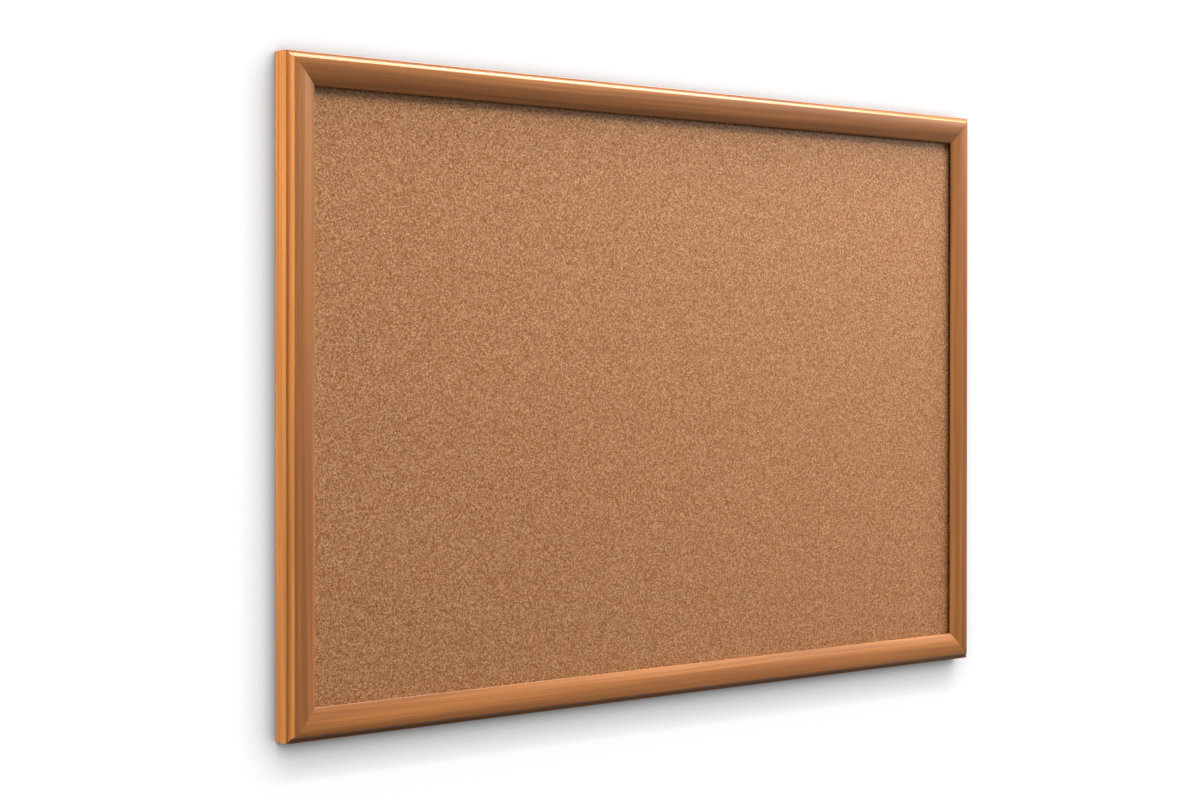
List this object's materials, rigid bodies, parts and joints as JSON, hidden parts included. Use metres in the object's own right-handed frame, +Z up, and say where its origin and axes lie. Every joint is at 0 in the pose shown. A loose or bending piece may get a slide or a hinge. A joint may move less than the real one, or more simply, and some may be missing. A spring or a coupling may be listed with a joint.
{
  "type": "cork bulletin board",
  "caption": "Rectangular cork pinboard in a mitred oak-finish moulding with a coved edge, panel held in a groove, keyhole hangers let into the back for wall hanging.",
  "frame": {"origin": "middle of the board's width and height, on the plane of the wall that its back rests on", "axes": "+X to the right of someone who faces the cork, +Y into the wall, so the cork faces -Y, +Z up"},
  "size_m": [0.9144, 0.0224, 0.6096],
  "materials": {
    "oak_finish": "oak-look wrapped moulding, satin",
    "cork": "fine agglomerated cork granules, matte",
    "fibreboard": "soft low-density fibreboard, matte",
    "kraft_paper": "brown kraft paper, matte",
    "zinc_plate": "zinc-plated pressed steel",
    "bright_steel": "plain steel wire and strip"
  },
  "bodies": {
    "root": {"top_rail": "oak_finish", "bottom_rail": "oak_finish", "left_stile": "oak_finish", "right_stile": "oak_finish", "cork_sheet": "cork", "fibreboard_core": "fibreboard", "backing_paper": "kraft_paper", "hanger_plate_left": "zinc_plate", "hanger_plate_right": "zinc_plate", "hanger_screw_left_upper": "zinc_plate", "hanger_screw_left_lower": "zinc_plate", "hanger_screw_right_upper": "zinc_plate", "hanger_screw_right_lower": "zinc_plate", "v_nail_top_left_outer": "bright_steel", "v_nail_top_left_inner": "bright_steel", "v_nail_top_right_outer": "bright_steel", "v_nail_top_right_inner": "bright_steel", "v_nail_bottom_left_outer": "bright_steel", "v_nail_bottom_left_inner": "bright_steel", "v_nail_bottom_right_outer": "bright_steel", "v_nail_bottom_right_inner": "bright_steel", "panel_staple_top_1": "bright_steel", "panel_staple_top_2": "bright_steel", "panel_staple_top_3": "bright_steel", "panel_staple_top_4": "bright_steel", "panel_staple_top_5": "bright_steel", "panel_staple_bottom_1": "bright_steel", "panel_staple_bottom_2": "bright_steel", "panel_staple_bottom_3": "bright_steel", "panel_staple_bottom_4": "bright_steel", "panel_staple_bottom_5": "bright_steel", "panel_staple_left_1": "bright_steel", "panel_staple_left_2": "bright_steel", "panel_staple_left_3": "bright_steel", "panel_staple_right_1": "bright_steel", "panel_staple_right_2": "bright_steel", "panel_staple_right_3": "bright_steel"}
  },
  "joints": []
}
